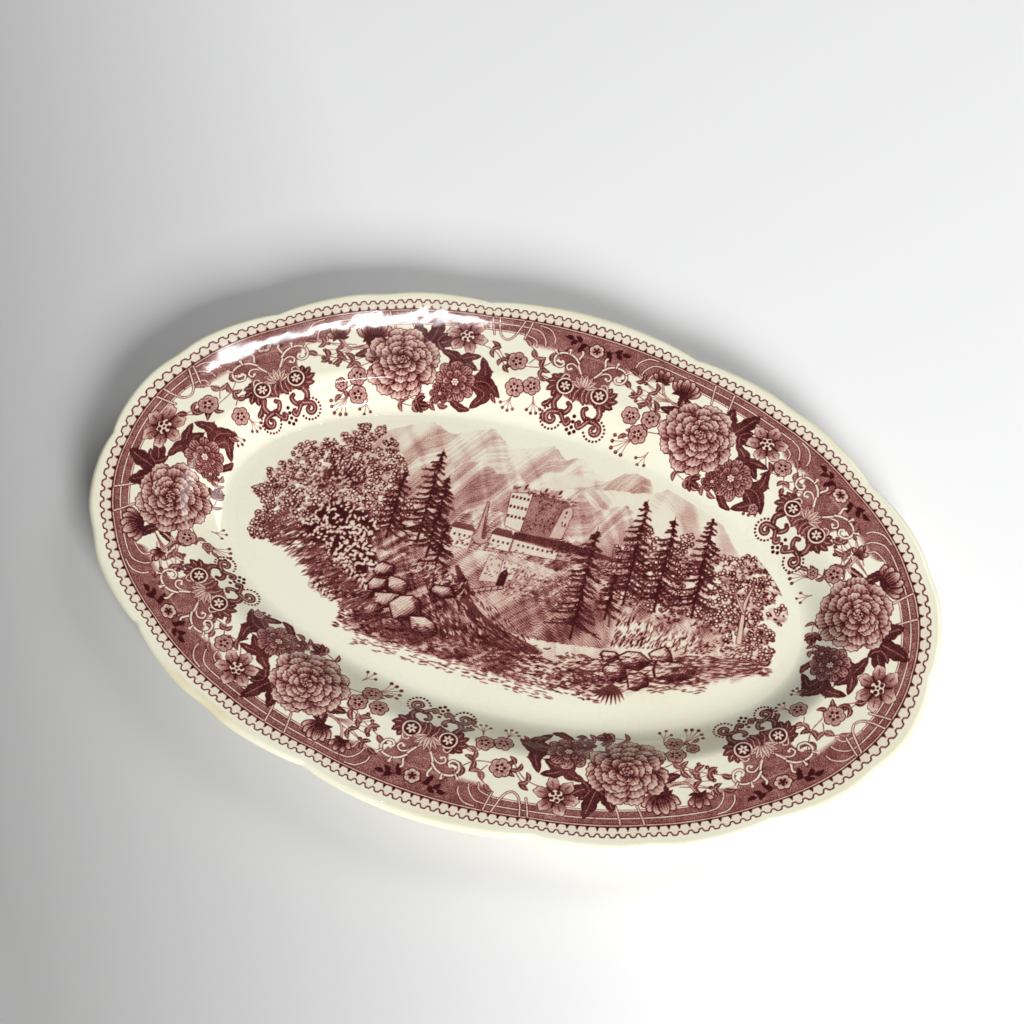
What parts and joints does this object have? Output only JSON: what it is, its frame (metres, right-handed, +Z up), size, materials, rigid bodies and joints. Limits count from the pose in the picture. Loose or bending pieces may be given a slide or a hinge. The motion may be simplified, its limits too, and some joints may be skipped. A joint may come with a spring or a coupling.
{
  "type": "oval serving platter",
  "caption": "Oval china serving platter with a lobed rim, a foot ring, and a red transfer-printed floral border round a landscape.",
  "frame": {"origin": "the middle of the foot ring, on the plane that the platter stands on", "axes": "+X along the platter's length, +Y across its width, +Z up out of the well"},
  "size_m": [0.42, 0.2858, 0.0262],
  "materials": {
    "fired_clay": "matt, wiped of glaze at the foot",
    "ivory_glaze": "glossy, lightly crazed",
    "red_print": "line and stipple engraving, glossy as the glaze"
  },
  "bodies": {
    "root": {"platter_body": "fired_clay", "glaze_coat": "ivory_glaze", "recess_glaze": "ivory_glaze", "lace_edge_print": "red_print", "border_print_1": "red_print", "border_print_2": "red_print", "border_print_3": "red_print", "border_print_4": "red_print", "border_print_5": "red_print", "border_print_6": "red_print", "landscape_print": "red_print"}
  },
  "joints": []
}
